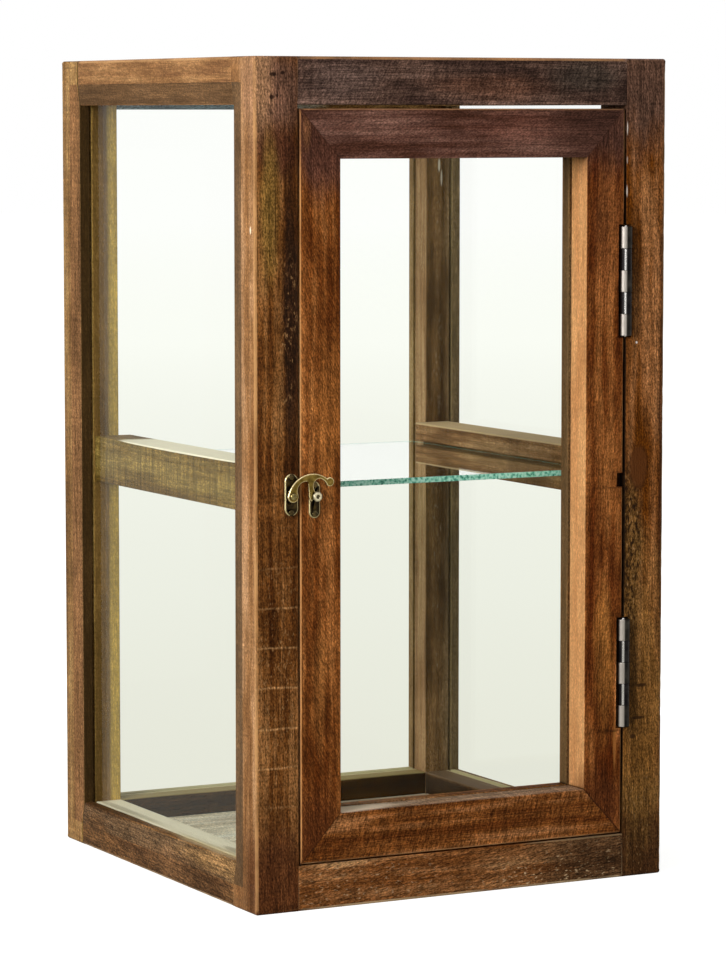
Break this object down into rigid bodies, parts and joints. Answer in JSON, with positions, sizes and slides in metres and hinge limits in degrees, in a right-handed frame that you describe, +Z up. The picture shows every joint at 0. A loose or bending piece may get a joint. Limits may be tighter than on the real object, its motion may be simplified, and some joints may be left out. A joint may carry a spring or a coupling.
{
  "type": "display case",
  "caption": "Upright glazed wooden display case with grooved frame, glass shelf on side battens, hinged glass door and swing-hook latch.",
  "frame": {"origin": "middle of the case's square footprint, on the ground", "axes": "+Z up, -Y out of the door side, +X to the right seen from the front (hinge side)"},
  "size_m": [0.32, 0.3264, 0.575],
  "materials": {
    "frame_wood": "worn, saw-marked, oiled",
    "door_wood": "worn, oiled, red-brown",
    "batten_wood": "saw-marked, pale olive-brown",
    "base_wood": "waxed, dark red-brown",
    "window_glass": "clear",
    "shelf_glass": "clear, green edges",
    "hinge_steel": "aged, darkened",
    "latch_brass": "antiqued, worn bright on edges"
  },
  "bodies": {
    "carcass": {"front_left_post": "frame_wood", "front_right_post": "frame_wood", "rear_left_post": "frame_wood", "rear_right_post": "frame_wood", "front_top_rail": "frame_wood", "rear_top_rail": "frame_wood", "left_top_rail": "frame_wood", "right_top_rail": "frame_wood", "front_bottom_rail": "frame_wood", "rear_bottom_rail": "frame_wood", "left_bottom_rail": "frame_wood", "right_bottom_rail": "frame_wood", "left_batten": "batten_wood", "right_batten": "batten_wood", "base_panel": "base_wood", "left_pane": "window_glass", "right_pane": "window_glass", "rear_pane": "window_glass", "top_pane": "window_glass", "upper_hinge_post_leaf": "hinge_steel", "upper_hinge_pin": "hinge_steel", "lower_hinge_post_leaf": "hinge_steel", "lower_hinge_pin": "hinge_steel", "hinge_post_screws": "hinge_steel", "latch_plate": "latch_brass", "latch_rivet": "latch_brass", "latch_screws": "latch_brass"},
    "door": {"door_latch_stile": "door_wood", "door_hinge_stile": "door_wood", "door_top_rail": "door_wood", "door_bottom_rail": "door_wood", "door_pane": "window_glass", "upper_hinge_door_leaf": "hinge_steel", "lower_hinge_door_leaf": "hinge_steel", "hinge_door_screws": "hinge_steel", "catch_plate": "latch_brass", "catch_stud": "latch_brass", "catch_screws": "latch_brass"},
    "latch_arm": {"latch_arm": "latch_brass"},
    "shelf": {"glass_shelf": "shelf_glass"}
  },
  "joints": [
    {"name": "door_hinge", "type": "hinge", "parent": "carcass", "child": "door", "pos_m": [0.12725, -0.1604, 0.2835], "axis": [0, 0, 1], "range_deg": [0, 170]},
    {"name": "latch_pivot", "type": "hinge", "parent": "carcass", "child": "latch_arm", "pos_m": [-0.1333, -0.1631, 0.2823], "axis": [0, -1, 0], "range_deg": [0, 100]},
    {"name": "shelf_slide", "type": "slide", "parent": "carcass", "child": "shelf", "axis": [0, -1, 0], "range_m": [0, 0.007]}
  ]
}
